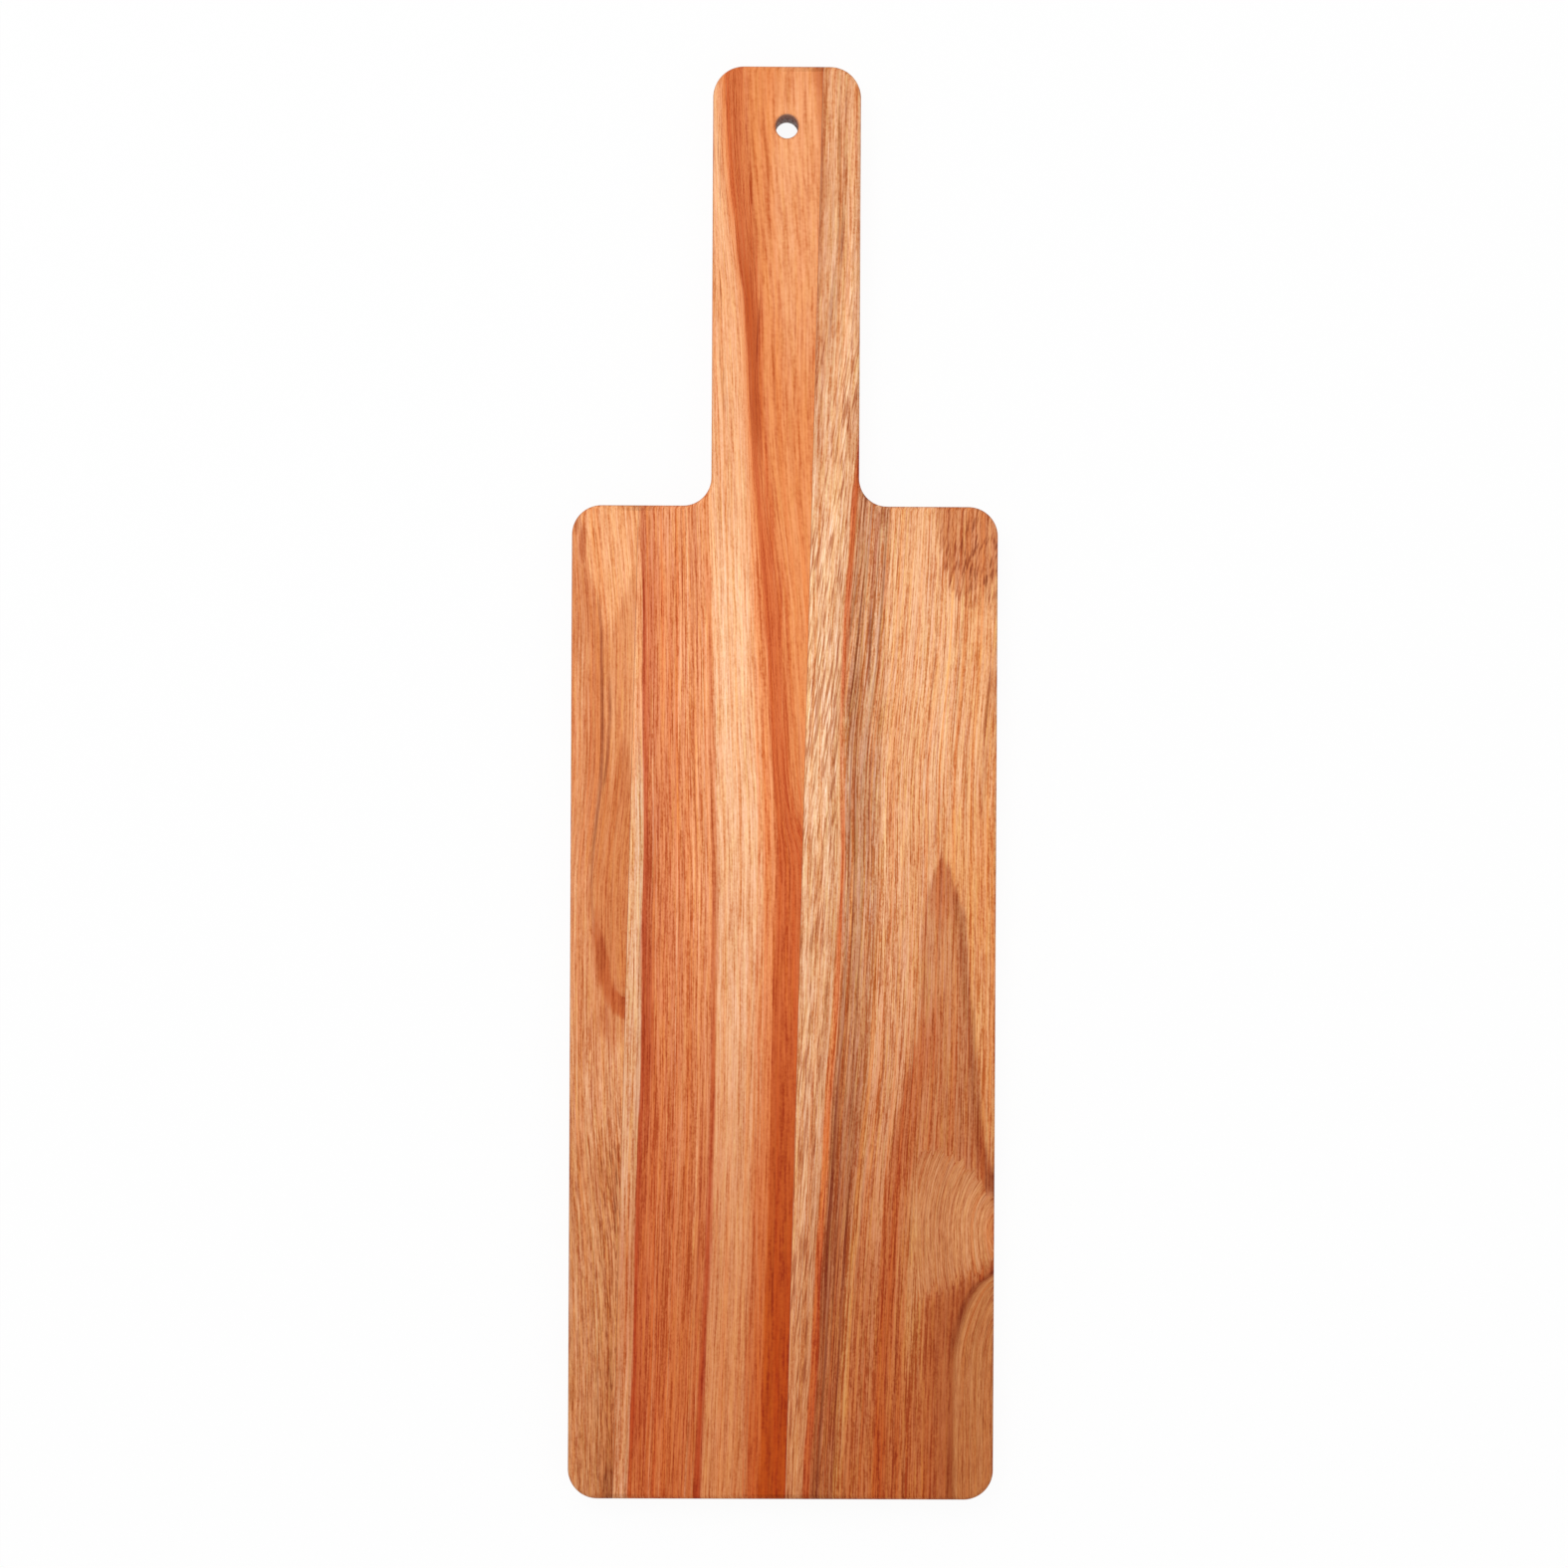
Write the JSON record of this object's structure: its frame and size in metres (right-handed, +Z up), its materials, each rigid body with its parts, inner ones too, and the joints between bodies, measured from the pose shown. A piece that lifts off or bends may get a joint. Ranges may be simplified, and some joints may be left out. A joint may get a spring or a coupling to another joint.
{
  "type": "paddle serving board",
  "caption": "Flat wooden paddle board with a straight handle, rounded edges and a hang hole, for serving cheese and cured meat.",
  "frame": {"origin": "on the surface that the board lies on, under the middle of its bounding box", "axes": "+X across the board, +Y along it towards the handle's tip, +Z up from the underside to the serving face"},
  "size_m": [0.151, 0.508, 0.015],
  "materials": {
    "left_stave_wood": "oiled satin, honey brown",
    "centre_stave_wood": "oiled satin, cream and red-brown bands",
    "right_stave_wood": "oiled satin, straw with dark heart bands and a knot",
    "glue": "cured wood glue, flush with the staves"
  },
  "bodies": {
    "root": {"left_stave": "left_stave_wood", "centre_stave": "centre_stave_wood", "right_stave": "right_stave_wood", "left_glue_line": "glue", "right_glue_line": "glue"}
  },
  "joints": []
}
